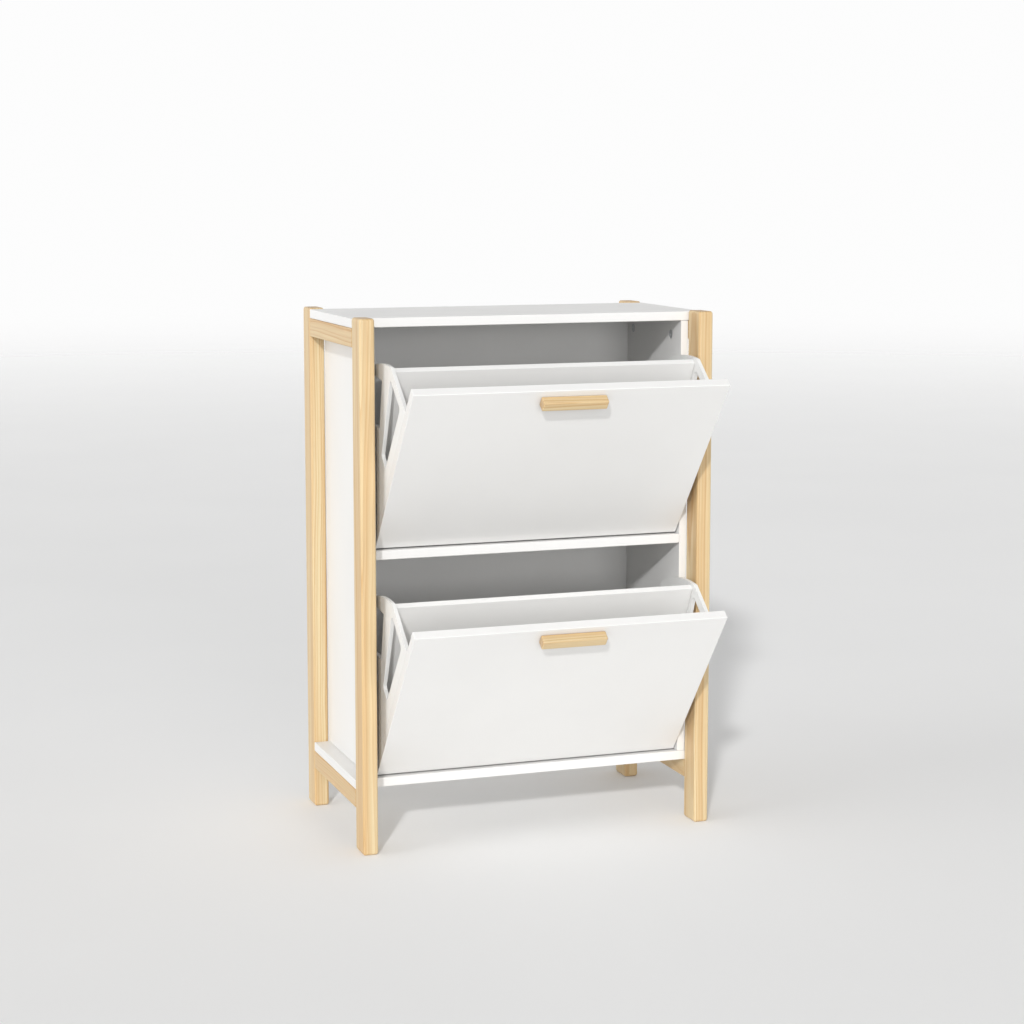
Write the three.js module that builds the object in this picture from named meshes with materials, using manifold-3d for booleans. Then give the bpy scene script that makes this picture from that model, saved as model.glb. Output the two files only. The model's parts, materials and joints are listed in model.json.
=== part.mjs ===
// Two-flap shoe cabinet: white boards hung between two pine side frames,
// with two drawers that tilt open on pins. Both drawers are shown open.
// Millimetres. X is the width (right +), Y the depth (front -), Z up.

import * as THREE from "three";
import { mergeVertices } from "three/addons/utils/BufferGeometryUtils.js";
import Module from "manifold-3d";

const wasm = await Module();
wasm.setup();

// ---------- driving dimensions ----------

const WIDTH = 595;
const DEPTH = 350;
const HEIGHT = 850;
const GAP = 0.3; // play between pieces that meet

const POST_WIDTH = 25;
const POST_DEPTH = 45;
const POST_EDGE_RADIUS = 4;
const POST_END_ROUNDING = 5; // height of the rounding at each end
const POST_END_INSET = 3.5; // how far that rounding draws the sides in
const RAIL_HEIGHT = 30;
const RAIL_EDGE = 2;

const BOARD = 15;
const BOARD_EDGE = 0.8;
const SIDE_THICKNESS = 12;
const TOP_SURFACE = 848;
const SHELF_SURFACE = 480;
const BOTTOM_SURFACE = 112;

const BACK_THICKNESS = 3;
const BACK_FACE_Y = 100;
const GROOVE_DEPTH = 4;

const CAM_RADIUS = 7.5;
const CAM_DEPTH = 9;
const CAM_FROM_BOARD = 25;
const CAM_SLOT_LENGTH = 10;
const CAM_SLOT_WIDTH = 1.8;
const CAM_SLOT_DEPTH = 1.5;
const CAM_YS = { front: -87, rear: 76 };

// A drawer is drawn closed, with y = depth behind its outer face and z = height
// above its lower edge, and is then turned about its pins.
const DRAWER_TILT = THREE.MathUtils.degToRad(38.8);
const DRAWER_SIDE_GAP = 2.5;
const FRONT_HEIGHT = 337.5;
const FRONT_THICKNESS = 15;
const FRONT_LIFT = 11.5; // closed front above the board below it
const PIVOT_DEPTH = 20;
const PIVOT_HEIGHT = 12;

const CHEEK_THICKNESS = 6;
const CHEEK_TOP = 288;
const CHEEK_REAR_TOP = 200;
const CHEEK_BOTTOM = 5;
const CHEEK_CORNER = 6;
const CHEEK_BEND_DEPTH = 165; // the curved rear of the top edge is pulled towards this point
const CHEEK_BEND_HEIGHT = 258;
const WINDOW_FRONT = 38;
const WINDOW_REAR_LOW = 67;
const WINDOW_REAR_HIGH = 103;
const WINDOW_BOTTOM = 143;
const WINDOW_TOP = 272;
const WINDOW_CORNER = 7;
const REAR_WINDOW_ANGLE = THREE.MathUtils.degToRad(27); // behind the vertical above the pin
const REAR_WINDOW_INNER = 176; // distance of its lower edge from the pin
const REAR_WINDOW_OUTER = 254; // and of its upper edge
const REAR_WINDOW_BACK = 176; // depth of its rear edge
const TRAY_BOARD = 9;
const TRAY_DEPTH = 205;
const TRAY_FLOOR = 20;
const DIVIDER_TOP = 279;
const DIVIDER_TOP_DEPTH = 112;
const DIVIDER_FOOT_DEPTH = 66;
const REAR_BOARD_TOP = 180;

const HANDLE_LENGTH = 107;
const HANDLE_HEIGHT = 17;
const HANDLE_REACH = 16;
const HANDLE_CENTRE_HEIGHT = 318.5;
const HANDLE_EDGE = 2.5;
const SCREW_SPACING = 64;
const SCREW_RADIUS = 2;
const SCREW_HEAD_RADIUS = 4.4;
const SCREW_HEAD_FACE_RADIUS = 3.5;
const SCREW_HEAD_THICKNESS = 2.4;
const SCREW_IN_HANDLE = 9;

const PIN_RADIUS = 3;
const PIN_HEAD_RADIUS = 4.4;
const PIN_HEAD_THICKNESS = 2;
const PIN_LENGTH_IN_SIDE = 8;
const BUSH_RADIUS = 5;
const BUSH_FLANGE_RADIUS = 8;
const BUSH_FLANGE = 1.2;

const PEG_RADIUS = 4;
const PEG_IN_SIDE = 8;
const PEG_SWING_RADIUS = 140;
const PEG_ANGLE = THREE.MathUtils.degToRad(35); // behind the vertical above the pin
const PEG_PLAY = 0.6;
const CLOSED_PLAY = THREE.MathUtils.degToRad(1.5);

const ROUND_STEPS = 32;
const SMALL_ROUND_STEPS = 12;
const SLOT_STEPS = 24;
const OVERRUN = 1; // how far a cutting tool runs past the face it cuts

// ---------- derived places ----------

const POST_X = WIDTH / 2 - POST_WIDTH / 2;
const POST_Y = DEPTH / 2 - POST_DEPTH / 2;
const CARCASS_HALF_DEPTH = DEPTH / 2 - POST_DEPTH;
const FRONT_PLANE_Y = -CARCASS_HALF_DEPTH;
const SIDE_OUTER_X = WIDTH / 2 - POST_WIDTH;
const SIDE_INNER_X = SIDE_OUTER_X - SIDE_THICKNESS;
const TOP_UNDERSIDE = TOP_SURFACE - BOARD;
const BOTTOM_UNDERSIDE = BOTTOM_SURFACE - BOARD;
const DRAWER_HALF_WIDTH = SIDE_INNER_X - DRAWER_SIDE_GAP;
const CHEEK_INNER_X = DRAWER_HALF_WIDTH - CHEEK_THICKNESS;
const PIVOT_Y = FRONT_PLANE_Y + PIVOT_DEPTH;
const PIVOT_RISE = FRONT_LIFT + PIVOT_HEIGHT;
const DRAWER_FLOORS = { upper: SHELF_SURFACE, lower: BOTTOM_SURFACE };

// ---------- materials ----------

function material(color, roughness, metalness = 0) {
  return new THREE.MeshStandardMaterial({ color, roughness, metalness });
}

const pine = () => material(0xe3c896, 0.55);
const whiteBoard = () => material(0xecebe8, 0.4);
const whitePlastic = () => material(0xe6e6e4, 0.45);
const zinc = () => material(0xb4b6b8, 0.35, 0.9);

// ---------- solids ----------

function toSolid(geometry) {
  const bare = geometry.clone();
  bare.deleteAttribute("normal");
  bare.deleteAttribute("uv");
  const merged = mergeVertices(bare, 1e-4);
  const mesh = new wasm.Mesh({
    numProp: 3,
    vertProperties: new Float32Array(merged.attributes.position.array),
    triVerts: new Uint32Array(merged.index.array),
  });
  return new wasm.Manifold(mesh);
}

function toGeometry(solid) {
  const mesh = solid.getMesh();
  const geometry = new THREE.BufferGeometry();
  geometry.setAttribute("position", new THREE.BufferAttribute(mesh.vertProperties, 3));
  geometry.setIndex(new THREE.BufferAttribute(mesh.triVerts, 1));
  geometry.computeVertexNormals();
  return geometry;
}

function cut(geometry, tools) {
  let solid = toSolid(geometry);
  for (const tool of tools) {
    solid = solid.subtract(toSolid(tool));
  }
  return toGeometry(solid);
}

function block(sizeX, sizeY, sizeZ, x = 0, y = 0, z = 0) {
  return new THREE.BoxGeometry(sizeX, sizeY, sizeZ).translate(x, y, z);
}

function rectangle(sizeX, sizeY) {
  const shape = new THREE.Shape();
  shape.moveTo(-sizeX / 2, -sizeY / 2);
  shape.lineTo(sizeX / 2, -sizeY / 2);
  shape.lineTo(sizeX / 2, sizeY / 2);
  shape.lineTo(-sizeX / 2, sizeY / 2);
  shape.closePath();
  return shape;
}

function roundedRectangle(sizeX, sizeY, radius) {
  const x = sizeX / 2 - radius;
  const y = sizeY / 2 - radius;
  const shape = new THREE.Shape();
  shape.absarc(x, y, radius, 0, Math.PI / 2);
  shape.absarc(-x, y, radius, Math.PI / 2, Math.PI);
  shape.absarc(-x, -y, radius, Math.PI, 1.5 * Math.PI);
  shape.absarc(x, -y, radius, 1.5 * Math.PI, 2 * Math.PI);
  shape.closePath();
  return shape;
}

// A board with a small chamfer on every edge, centred on its own origin.
function board(sizeX, sizeY, sizeZ, edge = BOARD_EDGE) {
  const geometry = new THREE.ExtrudeGeometry(rectangle(sizeX - 2 * edge, sizeY - 2 * edge), {
    depth: sizeZ - 2 * edge,
    bevelThickness: edge,
    bevelSize: edge,
    bevelSegments: 1,
  });
  return geometry.translate(0, 0, edge - sizeZ / 2);
}

// Turns an outline drawn in (depth, height) into a slab that runs along X.
function alongX(shape, fromX, toX) {
  const geometry = new THREE.ExtrudeGeometry(shape, {
    depth: toX - fromX,
    bevelEnabled: false,
    curveSegments: 8,
  });
  const depthHeightWidth = new THREE.Matrix4().makeBasis(
    new THREE.Vector3(0, 1, 0),
    new THREE.Vector3(0, 0, 1),
    new THREE.Vector3(1, 0, 0),
  );
  return geometry.applyMatrix4(depthHeightWidth).translate(fromX, 0, 0);
}

function rodAlongX(radius, fromX, toX, y, z) {
  const rod = new THREE.CylinderGeometry(radius, radius, toX - fromX, ROUND_STEPS);
  return rod.rotateZ(Math.PI / 2).translate((fromX + toX) / 2, y, z);
}

function rodAlongY(radius, fromY, toY, x, z) {
  const rod = new THREE.CylinderGeometry(radius, radius, toY - fromY, SMALL_ROUND_STEPS);
  return rod.translate(x, (fromY + toY) / 2, z);
}

// Spins a profile of [radius, distance] pairs about the X axis; distance runs along +X.
function turnedAlongX(profile) {
  const points = profile.map(([radius, distance]) => new THREE.Vector2(radius, distance));
  return new THREE.LatheGeometry(points, ROUND_STEPS).rotateZ(-Math.PI / 2);
}

function add(parent, name, geometry, look, x = 0, y = 0, z = 0) {
  const mesh = new THREE.Mesh(geometry, look);
  mesh.name = name;
  mesh.position.set(x, y, z);
  parent.add(mesh);
  return mesh;
}

const SIDES = [
  { side: "left", sign: -1 },
  { side: "right", sign: 1 },
];

// ---------- pine side frames ----------

function post() {
  const section = roundedRectangle(
    POST_WIDTH - 2 * POST_END_INSET,
    POST_DEPTH - 2 * POST_END_INSET,
    POST_EDGE_RADIUS - POST_END_INSET,
  );
  const geometry = new THREE.ExtrudeGeometry(section, {
    depth: HEIGHT - 2 * POST_END_ROUNDING,
    bevelThickness: POST_END_ROUNDING,
    bevelSize: POST_END_INSET,
    bevelSegments: 4,
    curveSegments: 3,
  });
  return geometry.translate(0, 0, POST_END_ROUNDING);
}

function addSideFrame(parent, { side, sign }) {
  add(parent, `post_front_${side}`, post(), pine(), sign * POST_X, -POST_Y);
  add(parent, `post_rear_${side}`, post(), pine(), sign * POST_X, POST_Y);
  const railLength = 2 * (CARCASS_HALF_DEPTH - GAP);
  const railWidth = POST_WIDTH - GAP;
  const railX = sign * (SIDE_OUTER_X + GAP + railWidth / 2);
  const heights = { top: TOP_UNDERSIDE, bottom: BOTTOM_UNDERSIDE };
  for (const [place, underside] of Object.entries(heights)) {
    const rail = board(railWidth, railLength, RAIL_HEIGHT, RAIL_EDGE);
    const railZ = underside - GAP - RAIL_HEIGHT / 2;
    add(parent, `rail_${place}_${side}`, rail, pine(), railX, 0, railZ);
  }
}

// ---------- white carcass ----------

function backGroove(sizeX, sizeZ, x, z) {
  const y = BACK_FACE_Y + BACK_THICKNESS / 2;
  return block(sizeX, BACK_THICKNESS + 2 * GAP, sizeZ, x, y, z);
}

function pegPlace() {
  return {
    y: PIVOT_Y + PEG_SWING_RADIUS * Math.sin(PEG_ANGLE),
    rise: PIVOT_RISE + PEG_SWING_RADIUS * Math.cos(PEG_ANGLE),
  };
}

function camHeights() {
  return {
    top: TOP_UNDERSIDE - CAM_FROM_BOARD,
    bottom: BOTTOM_SURFACE + CAM_FROM_BOARD,
  };
}

function sidePanel(sign) {
  const low = BOTTOM_SURFACE + GAP;
  const high = TOP_UNDERSIDE - GAP;
  const middleX = sign * (SIDE_INNER_X + SIDE_THICKNESS / 2);
  const panel = board(SIDE_THICKNESS, 2 * CARCASS_HALF_DEPTH, high - low);
  panel.translate(middleX, 0, (low + high) / 2);
  const grooveX = sign * SIDE_INNER_X;
  const tools = [backGroove(2 * GROOVE_DEPTH, HEIGHT, grooveX, (low + high) / 2)];
  const bore = (radius, depth, y, z) => {
    const inner = sign * (SIDE_INNER_X - OVERRUN);
    const deep = sign * (SIDE_INNER_X + depth);
    tools.push(rodAlongX(radius, Math.min(inner, deep), Math.max(inner, deep), y, z));
  };
  for (const z of Object.values(camHeights())) {
    for (const y of Object.values(CAM_YS)) {
      bore(CAM_RADIUS + GAP, CAM_DEPTH + 2 * GAP, y, z);
    }
  }
  for (const floor of Object.values(DRAWER_FLOORS)) {
    bore(BUSH_RADIUS + GAP, PIN_LENGTH_IN_SIDE + 2 * GAP, PIVOT_Y, floor + PIVOT_RISE);
    bore(PEG_RADIUS + GAP, PEG_IN_SIDE + GAP, pegPlace().y, floor + pegPlace().rise);
  }
  return cut(panel, tools);
}

function camFastener(sign) {
  const mouth = sign * (SIDE_INNER_X + GAP);
  const deep = sign * (SIDE_INNER_X + GAP + CAM_DEPTH);
  const disc = rodAlongX(CAM_RADIUS, Math.min(mouth, deep), Math.max(mouth, deep), 0, 0);
  return cut(disc, [
    block(2 * CAM_SLOT_DEPTH, CAM_SLOT_LENGTH, CAM_SLOT_WIDTH, mouth),
    block(2 * CAM_SLOT_DEPTH, CAM_SLOT_WIDTH, CAM_SLOT_LENGTH, mouth),
  ]);
}

function addCarcass(parent) {
  const fullDepth = 2 * (CARCASS_HALF_DEPTH - GAP);
  const grooveWidth = 2 * (SIDE_INNER_X + GROOVE_DEPTH);
  const top = board(WIDTH, fullDepth, BOARD).translate(0, 0, TOP_SURFACE - BOARD / 2);
  const topGroove = backGroove(grooveWidth, 2 * GROOVE_DEPTH, 0, TOP_UNDERSIDE);
  add(parent, "top_board", cut(top, [topGroove]), whiteBoard());
  const bottom = board(WIDTH, fullDepth, BOARD).translate(0, 0, BOTTOM_SURFACE - BOARD / 2);
  const bottomGroove = backGroove(grooveWidth, 2 * GROOVE_DEPTH, 0, BOTTOM_SURFACE);
  add(parent, "bottom_board", cut(bottom, [bottomGroove]), whiteBoard());

  const shelfBack = BACK_FACE_Y - GAP;
  const shelf = board(2 * (SIDE_INNER_X - GAP), shelfBack - FRONT_PLANE_Y, BOARD);
  const shelfY = (shelfBack + FRONT_PLANE_Y) / 2;
  add(parent, "middle_shelf", shelf, whiteBoard(), 0, shelfY, SHELF_SURFACE - BOARD / 2);

  const reach = GROOVE_DEPTH - GAP;
  const low = BOTTOM_SURFACE - reach;
  const high = TOP_UNDERSIDE + reach;
  const back = block(2 * (SIDE_INNER_X + reach), BACK_THICKNESS, high - low);
  const backY = BACK_FACE_Y + BACK_THICKNESS / 2;
  add(parent, "back_panel", back, whiteBoard(), 0, backY, (low + high) / 2);

  for (const { side, sign } of SIDES) {
    add(parent, `side_panel_${side}`, sidePanel(sign), whiteBoard());
    for (const [level, z] of Object.entries(camHeights())) {
      for (const [place, y] of Object.entries(CAM_YS)) {
        add(parent, `cam_${level}_${place}_${side}`, camFastener(sign), zinc(), 0, y, z);
      }
    }
  }
}

// ---------- bushes and stop pegs in the side panels ----------

function pivotBush() {
  const bore = PIN_RADIUS + GAP;
  const profile = [
    [bore, 0],
    [BUSH_FLANGE_RADIUS, 0],
    [BUSH_FLANGE_RADIUS, BUSH_FLANGE],
    [BUSH_RADIUS, BUSH_FLANGE],
    [BUSH_RADIUS, BUSH_FLANGE + GAP + PIN_LENGTH_IN_SIDE],
    [bore, BUSH_FLANGE + GAP + PIN_LENGTH_IN_SIDE],
    [bore, 0],
  ];
  return turnedAlongX(profile);
}

function stopPeg() {
  const length = DRAWER_SIDE_GAP + CHEEK_THICKNESS - 2 * GAP + PEG_IN_SIDE;
  return rodAlongX(PEG_RADIUS, 0, length, 0, 0);
}

function addWallFittings(parent, level, floor) {
  for (const { side, sign } of SIDES) {
    const bushStart = SIDE_INNER_X - BUSH_FLANGE - GAP;
    const bush = add(parent, `pivot_bush_${level}_${side}`, pivotBush(), whitePlastic());
    bush.position.set(sign * bushStart, PIVOT_Y, floor + PIVOT_RISE);
    const pegStart = CHEEK_INNER_X + 2 * GAP;
    const peg = add(parent, `stop_peg_${level}_${side}`, stopPeg(), zinc());
    peg.position.set(sign * pegStart, pegPlace().y, floor + pegPlace().rise);
    // both fittings are turned bodies, so the left ones are the right ones turned about
    bush.rotation.z = sign < 0 ? Math.PI : 0;
    peg.rotation.z = sign < 0 ? Math.PI : 0;
  }
}

// ---------- tilting drawers ----------

function screwHoles(fromDepth, toDepth) {
  return SIDES.map(({ sign }) => {
    const x = (sign * SCREW_SPACING) / 2;
    return rodAlongY(SCREW_RADIUS + GAP, fromDepth, toDepth, x, HANDLE_CENTRE_HEIGHT);
  });
}

function frontBoard() {
  const front = board(2 * DRAWER_HALF_WIDTH, FRONT_THICKNESS, FRONT_HEIGHT);
  front.translate(0, FRONT_THICKNESS / 2, FRONT_HEIGHT / 2);
  return cut(front, screwHoles(-OVERRUN, FRONT_THICKNESS + OVERRUN));
}

function handleBar() {
  const e = HANDLE_EDGE;
  const section = rectangle(HANDLE_LENGTH - 2 * e, HANDLE_HEIGHT - 2 * e);
  const bar = new THREE.ExtrudeGeometry(section, {
    depth: HANDLE_REACH - 2 * e,
    bevelThickness: e,
    bevelSize: e,
    bevelSegments: 3,
  });
  bar.translate(0, 0, e).rotateX(Math.PI / 2);
  bar.translate(0, -GAP, HANDLE_CENTRE_HEIGHT);
  return cut(bar, screwHoles(-SCREW_IN_HANDLE - 2 * GAP, OVERRUN));
}

function handleScrew() {
  const shankEnd = FRONT_THICKNESS + GAP + SCREW_IN_HANDLE;
  const profile = [
    [0, -shankEnd],
    [SCREW_RADIUS, -shankEnd],
    [SCREW_RADIUS, GAP],
    [SCREW_HEAD_RADIUS, GAP],
    [SCREW_HEAD_FACE_RADIUS, GAP + SCREW_HEAD_THICKNESS],
    [0, GAP + SCREW_HEAD_THICKNESS],
  ];
  const points = profile.map(([radius, along]) => new THREE.Vector2(radius, along));
  return new THREE.LatheGeometry(points, SMALL_ROUND_STEPS);
}

// The cheek's outline: level along the top over the front tier, then curving
// down behind the divider so that the rear corner clears the board above.
function cheekOutline() {
  const front = FRONT_THICKNESS + GAP;
  const r = CHEEK_CORNER;
  const shape = new THREE.Shape();
  shape.moveTo(front, CHEEK_BOTTOM);
  shape.lineTo(TRAY_DEPTH - r, CHEEK_BOTTOM);
  shape.quadraticCurveTo(TRAY_DEPTH, CHEEK_BOTTOM, TRAY_DEPTH, CHEEK_BOTTOM + r);
  shape.lineTo(TRAY_DEPTH, CHEEK_REAR_TOP - r);
  shape.quadraticCurveTo(TRAY_DEPTH, CHEEK_REAR_TOP, TRAY_DEPTH - r, CHEEK_REAR_TOP + r);
  shape.quadraticCurveTo(CHEEK_BEND_DEPTH, CHEEK_BEND_HEIGHT, DIVIDER_TOP_DEPTH, CHEEK_TOP);
  shape.lineTo(front, CHEEK_TOP);
  shape.closePath();
  return shape;
}

// An opening in the cheek beside the front tier, with a leaning rear edge.
function cheekWindow() {
  const r = WINDOW_CORNER;
  const shape = new THREE.Shape();
  shape.moveTo(WINDOW_FRONT, WINDOW_BOTTOM + r);
  shape.quadraticCurveTo(WINDOW_FRONT, WINDOW_BOTTOM, WINDOW_FRONT + r, WINDOW_BOTTOM);
  shape.lineTo(WINDOW_REAR_LOW - r, WINDOW_BOTTOM);
  shape.quadraticCurveTo(WINDOW_REAR_LOW, WINDOW_BOTTOM, WINDOW_REAR_LOW + 1, WINDOW_BOTTOM + r);
  shape.lineTo(WINDOW_REAR_HIGH - 1, WINDOW_TOP - r);
  shape.quadraticCurveTo(WINDOW_REAR_HIGH, WINDOW_TOP, WINDOW_REAR_HIGH - r, WINDOW_TOP);
  shape.lineTo(WINDOW_FRONT + r, WINDOW_TOP);
  shape.quadraticCurveTo(WINDOW_FRONT, WINDOW_TOP, WINDOW_FRONT, WINDOW_TOP - r);
  shape.closePath();
  return shape;
}

// A point at a distance from the pin and at an angle behind the vertical above it.
function aboutPin(radius, angle) {
  return [PIVOT_DEPTH + radius * Math.sin(angle), PIVOT_HEIGHT + radius * Math.cos(angle)];
}

function arcAboutPin(shape, radius, from, to) {
  for (let step = 0; step <= SLOT_STEPS; step += 1) {
    shape.lineTo(...aboutPin(radius, from + ((to - from) * step) / SLOT_STEPS));
  }
}

// An opening in the cheek behind the divider, between two arcs about the pin.
function rearWindow() {
  const angleAtBack = (radius) => Math.asin((REAR_WINDOW_BACK - PIVOT_DEPTH) / radius);
  const shape = new THREE.Shape();
  shape.moveTo(...aboutPin(REAR_WINDOW_OUTER, REAR_WINDOW_ANGLE));
  const upperEnd = angleAtBack(REAR_WINDOW_OUTER);
  arcAboutPin(shape, REAR_WINDOW_OUTER, REAR_WINDOW_ANGLE, upperEnd);
  const lowerEnd = angleAtBack(REAR_WINDOW_INNER);
  arcAboutPin(shape, REAR_WINDOW_INNER, lowerEnd, REAR_WINDOW_ANGLE);
  shape.closePath();
  return shape;
}

// The curved slot that the stop peg rides in; its two ends stop the drawer
// when it is open and when it is shut.
function pegSlot() {
  const half = PEG_RADIUS + PEG_PLAY;
  const start = PEG_ANGLE;
  const end = PEG_ANGLE + DRAWER_TILT + CLOSED_PLAY;
  const shape = new THREE.Shape();
  shape.moveTo(...aboutPin(PEG_SWING_RADIUS - half, start));
  arcAboutPin(shape, PEG_SWING_RADIUS - half, start, end);
  const [endX, endY] = aboutPin(PEG_SWING_RADIUS, end);
  shape.absarc(endX, endY, half, -Math.PI / 2 - end, Math.PI / 2 - end, false);
  arcAboutPin(shape, PEG_SWING_RADIUS + half, end, start);
  const [startX, startY] = aboutPin(PEG_SWING_RADIUS, start);
  shape.absarc(startX, startY, half, Math.PI / 2 - start, 1.5 * Math.PI - start, false);
  return shape;
}

function cheek(sign) {
  const inner = sign * CHEEK_INNER_X;
  const outer = sign * DRAWER_HALF_WIDTH;
  const from = Math.min(inner, outer);
  const to = Math.max(inner, outer);
  const plate = alongX(cheekOutline(), from, to);
  const holeFrom = from - OVERRUN;
  const holeTo = to + OVERRUN;
  return cut(plate, [
    alongX(cheekWindow(), holeFrom, holeTo),
    alongX(rearWindow(), holeFrom, holeTo),
    alongX(pegSlot(), holeFrom, holeTo),
    rodAlongX(PIN_RADIUS + GAP, holeFrom, holeTo, PIVOT_DEPTH, PIVOT_HEIGHT),
  ]);
}

function dividerBoard() {
  const foot = TRAY_FLOOR + TRAY_BOARD + GAP;
  const lean = Math.atan2(DIVIDER_TOP_DEPTH - DIVIDER_FOOT_DEPTH, DIVIDER_TOP - foot);
  const across = TRAY_BOARD / Math.cos(lean);
  const shape = new THREE.Shape();
  shape.moveTo(DIVIDER_FOOT_DEPTH, foot);
  shape.lineTo(DIVIDER_FOOT_DEPTH + across, foot);
  shape.lineTo(DIVIDER_TOP_DEPTH + across, DIVIDER_TOP);
  shape.lineTo(DIVIDER_TOP_DEPTH, DIVIDER_TOP);
  shape.closePath();
  return alongX(shape, GAP - CHEEK_INNER_X, CHEEK_INNER_X - GAP);
}

function pivotPin() {
  const shank = CHEEK_THICKNESS + DRAWER_SIDE_GAP + PIN_LENGTH_IN_SIDE;
  const profile = [
    [0, -GAP - PIN_HEAD_THICKNESS],
    [PIN_HEAD_RADIUS, -GAP - PIN_HEAD_THICKNESS],
    [PIN_HEAD_RADIUS, -GAP],
    [PIN_RADIUS, -GAP],
    [PIN_RADIUS, shank],
    [0, shank],
  ];
  return turnedAlongX(profile);
}

function addDrawer(parent, level, floor) {
  const hinge = new THREE.Group();
  hinge.position.set(0, PIVOT_Y, floor + PIVOT_RISE);
  hinge.rotation.x = DRAWER_TILT;
  parent.add(hinge);
  const drawer = new THREE.Group();
  drawer.position.set(0, -PIVOT_DEPTH, -PIVOT_HEIGHT);
  hinge.add(drawer);

  add(drawer, `${level}_front`, frontBoard(), whiteBoard());
  add(drawer, `${level}_handle`, handleBar(), pine());
  add(drawer, `${level}_divider`, dividerBoard(), whiteBoard());

  const innerWidth = 2 * (CHEEK_INNER_X - GAP);
  const floorFront = FRONT_THICKNESS + GAP;
  const floorBack = TRAY_DEPTH - TRAY_BOARD - GAP;
  const floorBoard = board(innerWidth, floorBack - floorFront, TRAY_BOARD);
  const floorY = (floorFront + floorBack) / 2;
  const floorZ = TRAY_FLOOR + TRAY_BOARD / 2;
  add(drawer, `${level}_tray_floor`, floorBoard, whiteBoard(), 0, floorY, floorZ);

  const rearHeight = REAR_BOARD_TOP - TRAY_FLOOR;
  const rearBoard = board(innerWidth, TRAY_BOARD, rearHeight);
  const rearY = TRAY_DEPTH - TRAY_BOARD / 2;
  const rearZ = TRAY_FLOOR + rearHeight / 2;
  add(drawer, `${level}_rear_board`, rearBoard, whiteBoard(), 0, rearY, rearZ);

  for (const { side, sign } of SIDES) {
    add(drawer, `${level}_cheek_${side}`, cheek(sign), whitePlastic());
    const pin = add(drawer, `${level}_pivot_pin_${side}`, pivotPin(), zinc());
    pin.position.set(sign * CHEEK_INNER_X, PIVOT_DEPTH, PIVOT_HEIGHT);
    pin.rotation.z = sign < 0 ? Math.PI : 0;
    const screw = add(drawer, `${level}_handle_screw_${side}`, handleScrew(), zinc());
    screw.position.set((sign * SCREW_SPACING) / 2, FRONT_THICKNESS, HANDLE_CENTRE_HEIGHT);
  }
}

// ---------- the cabinet ----------

const cabinet = new THREE.Group();
for (const frame of SIDES) {
  addSideFrame(cabinet, frame);
}
addCarcass(cabinet);
for (const [level, floor] of Object.entries(DRAWER_FLOORS)) {
  addWallFittings(cabinet, level, floor);
  addDrawer(cabinet, level, floor);
}

// The origin lies on the floor, under the middle of the opened cabinet.
cabinet.updateMatrixWorld(true);
const reach = new THREE.Box3().setFromObject(cabinet, true);
cabinet.position.y = -(reach.min.y + reach.max.y) / 2;

const model = new THREE.Group();
model.add(cabinet);

export default model;
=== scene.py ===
"""Looks of the two-drawer shoe cabinet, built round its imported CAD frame. Metres."""

import json
import math

import bmesh
import bpy
from mathutils import Matrix, Vector


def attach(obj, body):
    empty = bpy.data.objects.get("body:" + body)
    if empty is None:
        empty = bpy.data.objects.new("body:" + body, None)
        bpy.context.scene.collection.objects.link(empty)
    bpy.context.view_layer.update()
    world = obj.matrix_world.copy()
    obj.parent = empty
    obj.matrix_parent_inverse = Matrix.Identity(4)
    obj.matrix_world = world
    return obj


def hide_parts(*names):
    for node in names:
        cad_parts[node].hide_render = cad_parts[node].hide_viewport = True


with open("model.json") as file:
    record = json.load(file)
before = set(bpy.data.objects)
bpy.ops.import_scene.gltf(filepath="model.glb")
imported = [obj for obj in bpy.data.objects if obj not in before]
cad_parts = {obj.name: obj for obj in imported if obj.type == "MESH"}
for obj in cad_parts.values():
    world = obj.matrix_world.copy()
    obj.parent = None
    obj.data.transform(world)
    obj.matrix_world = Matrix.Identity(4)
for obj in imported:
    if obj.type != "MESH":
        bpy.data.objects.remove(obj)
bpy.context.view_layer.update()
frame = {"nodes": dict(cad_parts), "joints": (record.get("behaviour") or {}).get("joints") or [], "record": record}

# ---------- sizes ----------

# How far sharp edges are rounded, and the angles that count as sharp or as flat.
BOARD_EDGE = 0.0003
PLASTIC_EDGE = 0.0005
METAL_EDGE = 0.00025
EDGE_STEPS = 3
SHARP_ANGLE = math.radians(32)
FLAT_ANGLE = math.radians(0.5)
SAME_POINT = 0.00001

# The pine bars: radius of the long edges, and how far the ends are eased off.
POST_EDGE = 0.004
POST_END_HEIGHT = 0.005
POST_END_INSET = 0.0035
RAIL_EDGE = 0.002
RAIL_END = 0.0006
HANDLE_EDGE = 0.0025
ROUND_STEPS = 6
SMALLEST_EDGE = 1 / 8  # share of a bar's edge radius that is left at its inset ends

# Each bar's pith lies this far off its centre, in a direction that differs from bar to bar.
PITH_DISTANCE = 0.085
FIRST_HEADING = 1.2
HEADING_STEP = 2.4

# ---------- what the record says about each node ----------

RECORD = frame["record"]
SLOT_OF = {row["node"]: row["material_slot"] for row in RECORD["subparts"]}
BODY_OF = {
    node: body for body, nodes in RECORD["behaviour"]["bodies"].items() for node in nodes
}


def shutting_turn(body):
    """The turn that carries a body from its modelled pose to its lowest joint value."""
    for joint in frame["joints"]:
        if joint["child"] == body:
            pivot = Matrix.Translation(joint["pos_m"])
            angle = math.radians(joint["range_deg"][0])
            turn = Matrix.Rotation(angle, 4, Vector(joint["axis"]))
            return pivot @ turn @ pivot.inverted()
    return Matrix.Identity(4)


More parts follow.
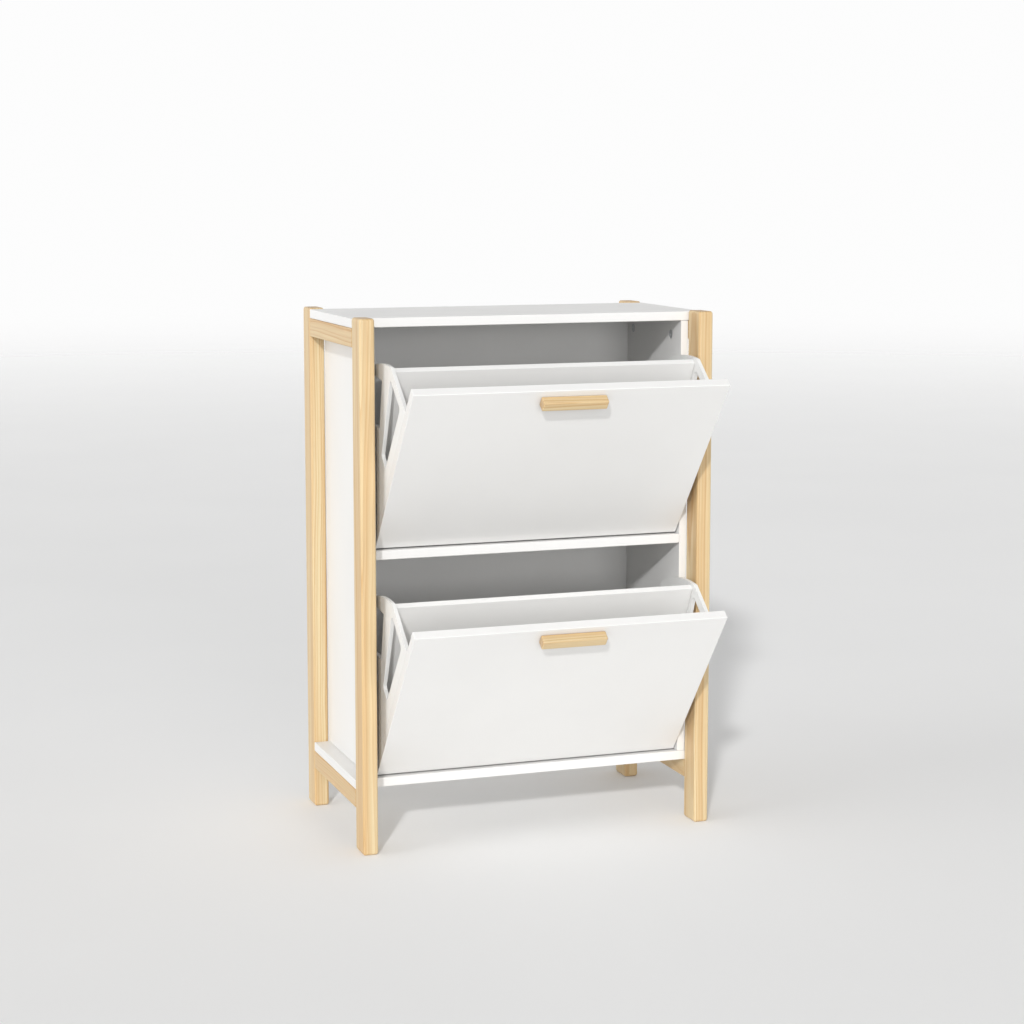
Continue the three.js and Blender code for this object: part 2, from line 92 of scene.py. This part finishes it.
def square_box(node):
    """Lowest and highest corner of a node, with its drawer turned square to the cabinet."""
    turn = shutting_turn(BODY_OF[node])
    points = [turn @ vertex.co for vertex in frame["nodes"][node].data.vertices]
    low = Vector([min(point[axis] for point in points) for axis in range(3)])
    high = Vector([max(point[axis] for point in points) for axis in range(3)])
    return low, high


# ---------- node materials ----------

# A noise runs from 0 to 1 but mostly keeps to its middle.
NOISE_LOW = 0.3
NOISE_HIGH = 0.7
CLOUD_RANGE = (0.35, 0.65)


class Graph:
    """A material's node tree, with short calls that add a node and join it up."""

    def __init__(self, name):
        self.material = bpy.data.materials.new(name)
        self.material.use_nodes = True
        self.tree = self.material.node_tree
        self.shader = self.tree.nodes["Principled BSDF"]
        self.coordinate = self.tree.nodes.new("ShaderNodeTexCoord")

    def put(self, socket, value):
        if isinstance(value, bpy.types.NodeSocket):
            self.tree.links.new(value, socket)
        else:
            socket.default_value = value

    def node(self, kind, values=None, **settings):
        made = self.tree.nodes.new(kind)
        for name, setting in settings.items():
            setattr(made, name, setting)
        for name, value in (values or {}).items():
            self.put(made.inputs[name], value)
        return made

    def maths(self, operation, first, second=0.0):
        made = self.node("ShaderNodeMath", operation=operation)
        self.put(made.inputs[0], first)
        self.put(made.inputs[1], second)
        return made.outputs[0]

    def noise(self, place, scale=1.0, detail=2.0, roughness=0.5, distortion=0.0):
        values = {
            "Vector": place,
            "Scale": scale,
            "Detail": detail,
            "Roughness": roughness,
            "Distortion": distortion,
        }
        return self.node("ShaderNodeTexNoise", values).outputs[0]

    def stretched(self, place, factors):
        made = self.node("ShaderNodeVectorMath", operation="MULTIPLY")
        self.put(made.inputs[0], place)
        self.put(made.inputs[1], factors)
        return made.outputs[0]

    def remap(self, value, low, high, to_low, to_high):
        values = {
            "Value": value,
            "From Min": low,
            "From Max": high,
            "To Min": to_low,
            "To Max": to_high,
        }
        return self.node("ShaderNodeMapRange", values).outputs[0]

    def spread(self, noise, to_low, to_high):
        """Carries the range that a noise mostly keeps to over to another range."""
        return self.remap(noise, NOISE_LOW, NOISE_HIGH, to_low, to_high)

    def ramp(self, value, stops):
        made = self.node("ShaderNodeValToRGB", {"Fac": value})
        elements = made.color_ramp.elements
        while len(elements) < len(stops):
            elements.new(1.0)
        for element, (position, colour) in zip(elements, stops):
            element.position = position
            element.color = (*colour, 1.0)
        return made.outputs[0]

    def mix(self, share, first, second, blend="MIX"):
        made = self.node("ShaderNodeMix", data_type="RGBA", blend_type=blend)
        self.put(made.inputs["Factor"], share)
        self.put(made.inputs["A"], (*first, 1.0) if isinstance(first, tuple) else first)
        self.put(made.inputs["B"], (*second, 1.0) if isinstance(second, tuple) else second)
        return made.outputs["Result"]

    def relief(self, height, depth, strength=1.0, under=None):
        values = {"Height": height, "Distance": depth, "Strength": strength}
        if under is not None:
            values["Normal"] = under
        return self.node("ShaderNodeBump", values).outputs[0]

    def shade(self, **values):
        for name, value in values.items():
            socket = self.shader.inputs[name.replace("_", " ")]
            self.put(socket, (*value, 1.0) if isinstance(value, tuple) else value)
        return self.material


# Lengths in metres. A grain says how fast a pattern changes, per metre, in the two
# directions across the wood's grain and then along it.
PINE_LIGHT = (0.70, 0.575, 0.35)
PINE_WARM = (0.62, 0.42, 0.205)
PINE_RING_DARK = (0.50, 0.27, 0.095)
PINE_END = (0.46, 0.29, 0.14)

RING_WIDTH = 0.0048
RING_DRIFT = 2.4  # rings by which the spacing runs ahead or behind
RING_DRIFT_SCALE = 55.0
SWAY_GRAIN = (5.0, 5.0, 1.6)
SWAY = 0.006
LEAN_GRAIN = (4.0, 4.0, 1.1)
LEAN = 0.005
WAVE_GRAIN = (60.0, 60.0, 5.0)
WAVE = 0.0005
# Share of the ring's width from the pith outwards, and how dark the wood is there.
RING_PROFILE = ((0.0, 0.16), (0.06, 0.0), (0.42, 0.07), (0.78, 0.6), (0.93, 1.0), (1.0, 0.3))
FAINTEST_RING = 0.45
RING_SHARE = 0.8

BAND_GRAIN = (38.0, 38.0, 0.9)
BAND_RANGE = (0.35, 0.68)
FIBRE_GRAIN = (900.0, 900.0, 14.0)
FIBRE_TINT = (0.94, 1.04)
STREAK_GRAIN = (2400.0, 2400.0, 90.0)
STREAK_RANGE = (0.66, 0.76)
STREAK_SHARE = 0.28
END_RANGE = (0.55, 0.95)
END_SHARE = 0.55

GROOVE_DEPTH = 0.00012
GROOVE_STRENGTH = 0.6
RING_GROOVE = 0.5
FIBRE_GROOVE = 0.6
RING_POLISH = 0.3
POLISH_RANGE = (0.2, 0.8)
PINE_ROUGH = (0.5, 0.4)
LACQUER = 0.12
LACQUER_ROUGH = 0.3


def pine_coordinates(g, turn):
    """Place and normal on the piece, both turned with its drawer when there is a turn."""
    place = g.coordinate.outputs["Object"]
    facing = g.coordinate.outputs["Normal"]
    if turn is not None:
        mapping = {"Vector": place, "Rotation": turn.to_euler(), "Location": turn.translation}
        place = g.node("ShaderNodeMapping", mapping, vector_type="POINT").outputs[0]
        spin = {"Vector": facing, "Rotation": turn.to_euler()}
        facing = g.node("ShaderNodeMapping", spin, vector_type="POINT").outputs[0]
    return place, facing


def pine_latewood(g, grain, across):
    """How dark the growth ring is at each place: rings round the pith, each its own shade."""
    sway = g.spread(g.noise(g.stretched(grain, SWAY_GRAIN), detail=2.0), -SWAY, SWAY)
    leaning = g.stretched(grain, LEAN_GRAIN)
    lean = g.noise(leaning, detail=1.0, roughness=0.4, distortion=0.3)
    lean = g.spread(lean, -LEAN, LEAN)
    first = g.maths("ADD", across[0], sway)
    second = g.maths("ADD", across[1], lean)
    squares = g.maths("ADD", g.maths("POWER", first, 2.0), g.maths("POWER", second, 2.0))
    wave = g.spread(g.noise(g.stretched(grain, WAVE_GRAIN), detail=3.0), -WAVE, WAVE)
    radius = g.maths("ADD", g.maths("SQRT", squares), wave)
    values = {"W": radius, "Scale": RING_DRIFT_SCALE}
    drift = g.node("ShaderNodeTexNoise", values, noise_dimensions="1D").outputs[0]
    rings = g.maths("DIVIDE", radius, RING_WIDTH)
    rings = g.maths("ADD", rings, g.maths("MULTIPLY", drift, RING_DRIFT))
    stops = [(share, (darkness,) * 3) for share, darkness in RING_PROFILE]
    late = g.ramp(g.maths("FRACT", rings), stops)
    which = {"W": g.maths("FLOOR", rings)}
    weight = g.node("ShaderNodeTexWhiteNoise", which, noise_dimensions="1D").outputs[0]
    return g.maths("MULTIPLY", late, g.remap(weight, 0.0, 1.0, FAINTEST_RING, 1.0))


def pine(name, grain_axis, pith, turn=None):
    """Clear-lacquered pine. The growth rings lie round a pith beside the piece, in metres
    from the frame's origin, and run along one axis of the piece turned square."""
    g = Graph(name)
    place, facing = pine_coordinates(g, turn)
    shifted = g.node("ShaderNodeVectorMath", operation="SUBTRACT")
    g.put(shifted.inputs[0], place)
    g.put(shifted.inputs[1], pith)
    split = g.node("ShaderNodeSeparateXYZ", {"Vector": shifted.outputs[0]})
    across = [split.outputs[axis] for axis in range(3) if axis != grain_axis]
    values = {"X": across[0], "Y": across[1], "Z": split.outputs[grain_axis]}
    grain = g.node("ShaderNodeCombineXYZ", values).outputs[0]
    late = pine_latewood(g, grain, across)

    banded = g.stretched(grain, BAND_GRAIN)
    band = g.noise(banded, detail=3.0, roughness=0.6, distortion=0.4)
    band = g.remap(band, *BAND_RANGE, 0.0, 1.0)
    fibre = g.noise(g.stretched(grain, FIBRE_GRAIN), detail=3.0, roughness=0.6)
    streak = g.noise(g.stretched(grain, STREAK_GRAIN), detail=1.0)
    streak = g.remap(streak, *STREAK_RANGE, 0.0, 1.0)
    colour = g.mix(band, PINE_LIGHT, PINE_WARM)
    colour = g.mix(g.maths("MULTIPLY", late, RING_SHARE), colour, PINE_RING_DARK)
    tint = g.spread(fibre, *FIBRE_TINT)
    shade = g.node("ShaderNodeCombineXYZ", {"X": tint, "Y": tint, "Z": tint}).outputs[0]
    colour = g.mix(1.0, colour, shade, "MULTIPLY")
    colour = g.mix(g.maths("MULTIPLY", streak, STREAK_SHARE), colour, PINE_RING_DARK)
    ends = g.node("ShaderNodeSeparateXYZ", {"Vector": facing}).outputs[grain_axis]
    ends = g.remap(g.maths("ABSOLUTE", ends), *END_RANGE, 0.0, END_SHARE)
    colour = g.mix(ends, colour, PINE_END)

    ring_groove = g.maths("MULTIPLY", late, RING_GROOVE)
    fibre_groove = g.maths("MULTIPLY", fibre, FIBRE_GROOVE)
    grooves = g.maths("ADD", ring_groove, fibre_groove)
    polish = g.maths("SUBTRACT", fibre, g.maths("MULTIPLY", late, RING_POLISH))
    return g.shade(
        Base_Color=colour,
        Roughness=g.remap(polish, *POLISH_RANGE, *PINE_ROUGH),
        Normal=g.relief(grooves, GROOVE_DEPTH, GROOVE_STRENGTH),
        Coat_Weight=LACQUER,
        Coat_Roughness=LACQUER_ROUGH,
    )


FOIL_TONE = (0.79, 0.785, 0.772)
FOIL_ROUGH = (0.34, 0.42)
FOIL_PITS = 0.00004
HARDBOARD_TONE = (0.77, 0.767, 0.757)
HARDBOARD_ROUGH = (0.45, 0.55)
HARDBOARD_PITS = 0.0001
CLOUD_SCALE = 5.0
CLOUD_SHARE = 0.975
SPECK_SCALE = 620.0
SPECK_TONE = (0.6, 0.59, 0.56)
SPECK_RANGE = (0.72, 0.8)
SPECK_SHARE = 0.05
CHIP_SCALE = 60.0
CHIP_DEPTH = 0.0003
CHIP_STRENGTH = 0.12
PEBBLE_SCALE = 420.0
PEBBLE_STRENGTH = 0.5
SMEAR_STRETCH = (14.0, 14.0, 4.0)


def white_foil(name, tone, rough, pits):
    """Satin white foil over particle board: the board's chips show through very faintly,
    and the foil itself is pebbled."""
    g = Graph(name)
    place = g.coordinate.outputs["Object"]
    darker = tuple(channel * CLOUD_SHARE for channel in tone)
    cloud = g.noise(place, CLOUD_SCALE, detail=3.0)
    colour = g.mix(g.remap(cloud, *CLOUD_RANGE, 0.0, 1.0), tone, darker)
    speck = g.noise(place, SPECK_SCALE, detail=1.0)
    colour = g.mix(g.remap(speck, *SPECK_RANGE, 0.0, SPECK_SHARE), colour, SPECK_TONE)
    chips = g.relief(g.noise(place, CHIP_SCALE), CHIP_DEPTH, CHIP_STRENGTH)
    pebble = g.noise(place, PEBBLE_SCALE, detail=3.0, roughness=0.55)
    smear = g.noise(g.stretched(place, SMEAR_STRETCH), detail=4.0, roughness=0.6)
    return g.shade(
        Base_Color=colour,
        Roughness=g.spread(smear, *rough),
        Normal=g.relief(pebble, pits, PEBBLE_STRENGTH, under=chips),
    )


PLASTIC_TONE = (0.80, 0.80, 0.785)
PLASTIC_FLOW_TONE = (0.77, 0.77, 0.755)
PLASTIC_ROUGH = (0.42, 0.52)
PLASTIC_PATCH_SCALE = 90.0
SPARK_SCALE = 1500.0
SPARK_DEPTH = 0.00004
SPARK_STRENGTH = 0.5
FLOW_SCALE = 4.0
FLOW_STRETCH = (1.0, 6.0, 3.0)


def moulded_plastic(name):
    """White moulded plastic with a fine spark-eroded grain and faint flow lines."""
    g = Graph(name)
    place = g.coordinate.outputs["Object"]
    flow = g.stretched(place, FLOW_STRETCH)
    flow = g.noise(flow, FLOW_SCALE, detail=3.0, roughness=0.6, distortion=0.8)
    flow = g.remap(flow, *CLOUD_RANGE, 0.0, 1.0)
    patches = g.noise(place, PLASTIC_PATCH_SCALE, detail=3.0)
    grain = g.noise(place, SPARK_SCALE, roughness=0.6)
    return g.shade(
        Base_Color=g.mix(flow, PLASTIC_TONE, PLASTIC_FLOW_TONE),
        Roughness=g.spread(patches, *PLASTIC_ROUGH),
        Normal=g.relief(grain, SPARK_DEPTH, SPARK_STRENGTH),
    )


ZINC_DARK = (0.5, 0.51, 0.52)
ZINC_LIGHT = (0.66, 0.67, 0.68)
ZINC_ROUGH = (0.3, 0.42)
ZINC_CLOUD_SCALE = 260.0
TURNING_DEPTH = 0.00002
TURNING_STRENGTH = 0.4
TURNING_STRETCH = (900.0, 4000.0, 4000.0)


def zinc_plate(name):
    """Satin zinc plating, slightly cloudy, with fine turning marks."""
    g = Graph(name)
    place = g.coordinate.outputs["Object"]
    cloud = g.noise(place, ZINC_CLOUD_SCALE, detail=4.0, roughness=0.6)
    marks = g.noise(g.stretched(place, TURNING_STRETCH), detail=1.0)
    return g.shade(
        Base_Color=g.ramp(cloud, [(NOISE_LOW, ZINC_DARK), (NOISE_HIGH, ZINC_LIGHT)]),
        Metallic=1.0,
        Roughness=g.spread(cloud, *ZINC_ROUGH),
        Normal=g.relief(marks, TURNING_DEPTH, TURNING_STRENGTH),
    )


# ---------- meshes ----------


def rounded_outline(half_x, half_y, radius):
    """Points round a rectangle with round corners, counter-clockwise."""
    points = []
    for corner, (side_x, side_y) in enumerate(((1, 1), (-1, 1), (-1, -1), (1, -1))):
        for step in range(ROUND_STEPS + 1):
            angle = (corner + step / ROUND_STEPS) * math.pi / 2
            x = side_x * (half_x - radius) + radius * math.cos(angle)
            y = side_y * (half_y - radius) + radius * math.sin(angle)
            points.append((x, y))
    return points


def bar(low, high, axis, edge, end_height, end_inset):
    """A bar that fills a box and runs along one axis, with round edges and eased ends."""
    size = high - low
    first, second = [other for other in range(3) if other != axis]
    eased = []
    for step in range(ROUND_STEPS + 1):
        angle = step / ROUND_STEPS * math.pi / 2
        inset = end_inset * (1 - math.sin(angle))
        eased.append((end_height * (1 - math.cos(angle)), inset))
    levels = eased + [(size[axis] - height, inset) for height, inset in reversed(eased)]
    mesh = bmesh.new()
    loops = []
    for height, inset in levels:
        outline = rounded_outline(
            size[first] / 2 - inset,
            size[second] / 2 - inset,
            max(edge - inset, edge * SMALLEST_EDGE),
        )
        loop = []
        for x, y in outline:
            point = Vector((0, 0, 0))
            point[first] = (low[first] + high[first]) / 2 + x
            point[second] = (low[second] + high[second]) / 2 + y
            point[axis] = low[axis] + height
            loop.append(mesh.verts.new(point))
        loops.append(loop)
    count = len(loops[0])
    for below, above in zip(loops, loops[1:]):
        for index in range(count):
            after = (index + 1) % count
            mesh.faces.new((below[index], below[after], above[after], above[index]))
    mesh.faces.new(loops[0])
    mesh.faces.new(loops[-1])
    bmesh.ops.recalc_face_normals(mesh, faces=mesh.faces)
    return mesh


def refined(node, edge):
    """The node's own shape with every sharp edge rounded."""
    mesh = bmesh.new()
    mesh.from_mesh(frame["nodes"][node].data)
    bmesh.ops.remove_doubles(mesh, verts=mesh.verts, dist=SAME_POINT)
    bmesh.ops.dissolve_limit(
        mesh, angle_limit=FLAT_ANGLE, verts=mesh.verts, edges=mesh.edges
    )
    sharp = [
        line
        for line in mesh.edges
        if line.is_manifold and line.calc_face_angle() > SHARP_ANGLE
    ]
    bmesh.ops.bevel(
        mesh,
        geom=sharp,
        offset=edge,
        offset_type="OFFSET",
        segments=EDGE_STEPS,
        profile=0.5,
        affect="EDGES",
        clamp_overlap=True,
    )
    return mesh


def add_piece(mesh, name, node, look):
    """Makes an object of a mesh that stands for one CAD node and moves with its body."""
    data = bpy.data.meshes.new(name)
    for face in mesh.faces:
        face.smooth = True
    mesh.to_mesh(data)
    mesh.free()
    piece = bpy.data.objects.new(name, data)
    bpy.context.scene.collection.objects.link(piece)
    weighted = piece.modifiers.new("weighted normals", "WEIGHTED_NORMAL")
    weighted.mode = "FACE_AREA"
    data.materials.append(look)
    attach(piece, BODY_OF[node])
    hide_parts(node)


# ---------- pine frames and handles ----------


def add_pine(node, axis, edge, end_height, end_inset, heading):
    """A pine bar in place of one CAD node; the heading says on which side its pith lies."""
    low, high = square_box(node)
    pith = (low + high) / 2
    first, second = [other for other in range(3) if other != axis]
    pith[first] += PITH_DISTANCE * math.cos(heading)
    pith[second] += PITH_DISTANCE * math.sin(heading)
    turn = shutting_turn(BODY_OF[node])
    moved = BODY_OF[node] != BODY_OF["top_board"]
    mesh = bar(low, high, axis, edge, end_height, end_inset)
    if moved:
        bmesh.ops.transform(mesh, matrix=turn.inverted(), verts=mesh.verts)
    look = pine(f"pine {node}", axis, pith, turn if moved else None)
    add_piece(mesh, f"fine_{node}", node, look)


for number, node in enumerate(sorted(SLOT_OF)):
    heading = FIRST_HEADING + HEADING_STEP * number
    if node.startswith("post_"):
        add_pine(node, 2, POST_EDGE, POST_END_HEIGHT, POST_END_INSET, heading)
    elif node.startswith("rail_"):
        add_pine(node, 1, RAIL_EDGE, RAIL_END, RAIL_END, heading)
    elif node.endswith("_handle"):
        add_pine(node, 0, HANDLE_EDGE, HANDLE_EDGE, HANDLE_EDGE, heading)

# ---------- boards, plastic and metal ----------

foil = white_foil("white foil", FOIL_TONE, FOIL_ROUGH, FOIL_PITS)
hardboard = white_foil("white hardboard", HARDBOARD_TONE, HARDBOARD_ROUGH, HARDBOARD_PITS)
plastic = moulded_plastic("white moulded plastic")
zinc = zinc_plate("zinc plating")

for node, slot in SLOT_OF.items():
    if node == "back_panel":
        add_piece(refined(node, BOARD_EDGE), f"fine_{node}", node, hardboard)
    elif slot == "white_board":
        add_piece(refined(node, BOARD_EDGE), f"fine_{node}", node, foil)
    elif slot == "white_plastic":
        add_piece(refined(node, PLASTIC_EDGE), f"fine_{node}", node, plastic)
    elif slot == "zinc":
        add_piece(refined(node, METAL_EDGE), f"fine_{node}", node, zinc)

# ---------- floor ----------

FLOOR_HALF = 18.0
FLOOR_FADE_FROM = 2.0
FLOOR_FADE_TO = 15.0
FLOOR_TONE = (0.905, 0.905, 0.901)
FLOOR_CLOUD_TONE = (0.89, 0.89, 0.887)
FLOOR_CLOUD_SCALE = 1.5
FLOOR_ROUGH = 0.85


def floor_look():
    """A pale matt floor that fades out far from the object."""
    g = Graph("pale floor")
    place = g.coordinate.outputs["Object"]
    length = g.node("ShaderNodeVectorMath", {0: place}, operation="LENGTH").outputs["Value"]
    near = g.remap(length, FLOOR_FADE_FROM, FLOOR_FADE_TO, 1.0, 0.0)
    near.node.interpolation_type = "SMOOTHERSTEP"
    cloud = g.spread(g.noise(place, FLOOR_CLOUD_SCALE), 0.0, 1.0)
    return g.shade(
        Base_Color=g.mix(cloud, FLOOR_TONE, FLOOR_CLOUD_TONE),
        Roughness=FLOOR_ROUGH,
        Alpha=near,
    )


floor_mesh = bmesh.new()
corners = [(-1, -1), (1, -1), (1, 1), (-1, 1)]
floor_mesh.faces.new(
    [floor_mesh.verts.new((x * FLOOR_HALF, y * FLOOR_HALF, 0.0)) for x, y in corners]
)
floor_data = bpy.data.meshes.new("floor")
floor_mesh.to_mesh(floor_data)
floor_mesh.free()
floor_data.materials.append(floor_look())
floor = bpy.data.objects.new("floor", floor_data)
bpy.context.scene.collection.objects.link(floor)

# ---------- light ----------

# Directions in which the light travels, and how wide each light looks from the cabinet.
KEY_TRAVEL = Vector((0.52, 1.0, -0.544))
KEY_STRENGTH = 1.8
KEY_SPREAD = math.radians(3.5)
FRONT_TRAVEL = Vector((0.0, 1.0, -0.12))
FRONT_STRENGTH = 0.96
FRONT_SPREAD = math.radians(28)
SIDE_TRAVEL = Vector((1.0, 0.12, -0.2))
SIDE_STRENGTH = 0.85
SIDE_SPREAD = math.radians(34)
# The sky's strength near the horizon and overhead, between two heights of the direction.
SKY_LOW = 0.98
SKY_HIGH = 0.44
SKY_FALL_FROM = 0.15
SKY_FALL_TO = 0.9
SKY_FRONT = 0.48  # share of the sky's light that is left straight in front
SKY_FRONT_END = 0.6


def add_light(name, travel, strength, spread):
    """A distant light; a wide spread gives it soft shadows, as a big softbox has."""
    data = bpy.data.lights.new(name, "SUN")
    data.energy = strength
    data.angle = spread
    light = bpy.data.objects.new(name, data)
    light.rotation_mode = "QUATERNION"
    light.rotation_quaternion = travel.to_track_quat("-Z", "Y")
    bpy.context.scene.collection.objects.link(light)


add_light("key", KEY_TRAVEL, KEY_STRENGTH, KEY_SPREAD)
add_light("front fill", FRONT_TRAVEL, FRONT_STRENGTH, FRONT_SPREAD)
add_light("side fill", SIDE_TRAVEL, SIDE_STRENGTH, SIDE_SPREAD)


def add_sky():
    """A white sky, dimmer overhead and in front of the cabinet."""
    world = bpy.data.worlds.new("studio")
    bpy.context.scene.world = world
    world.use_nodes = True
    tree = world.node_tree

    def share_of(output, low, high, to_low, to_high):
        made = tree.nodes.new("ShaderNodeMapRange")
        tree.links.new(output, made.inputs["Value"])
        made.inputs["From Min"].default_value = low
        made.inputs["From Max"].default_value = high
        made.inputs["To Min"].default_value = to_low
        made.inputs["To Max"].default_value = to_high
        return made

    direction = tree.nodes.new("ShaderNodeTexCoord")
    split = tree.nodes.new("ShaderNodeSeparateXYZ")
    tree.links.new(direction.outputs["Generated"], split.inputs[0])
    fall = share_of(split.outputs["Z"], SKY_FALL_FROM, SKY_FALL_TO, SKY_LOW, SKY_HIGH)
    behind = share_of(split.outputs["Y"], -1.0, SKY_FRONT_END, SKY_FRONT, 1.0)
    behind.interpolation_type = "SMOOTHSTEP"
    both = tree.nodes.new("ShaderNodeMath")
    both.operation = "MULTIPLY"
    tree.links.new(fall.outputs[0], both.inputs[0])
    tree.links.new(behind.outputs[0], both.inputs[1])
    sky = tree.nodes["Background"]
    sky.inputs["Color"].default_value = (1.0, 1.0, 1.0, 1.0)
    tree.links.new(both.outputs[0], sky.inputs["Strength"])


add_sky()

# ---------- camera ----------

CAMERA_PLACE = (-1.23656, -3.47411, 1.07341)
CAMERA_HEADING = math.radians(19.37)
CAMERA_DROP = math.radians(7.212)
CAMERA_FOCAL = 80.147
CAMERA_SENSOR = 36.0
CAMERA_SHIFT = -0.05

camera_data = bpy.data.cameras.new("camera")
camera_data.sensor_width = CAMERA_SENSOR
camera_data.lens = CAMERA_FOCAL
camera_data.shift_y = CAMERA_SHIFT
camera = bpy.data.objects.new("camera", camera_data)
camera.location = CAMERA_PLACE
camera.rotation_euler = (math.pi / 2 - CAMERA_DROP, 0.0, -CAMERA_HEADING)
bpy.context.scene.collection.objects.link(camera)
bpy.context.scene.camera = camera
bpy.context.scene.view_settings.view_transform = "Standard"

# ---------- last update of the scene ---

bpy.context.view_layer.update()
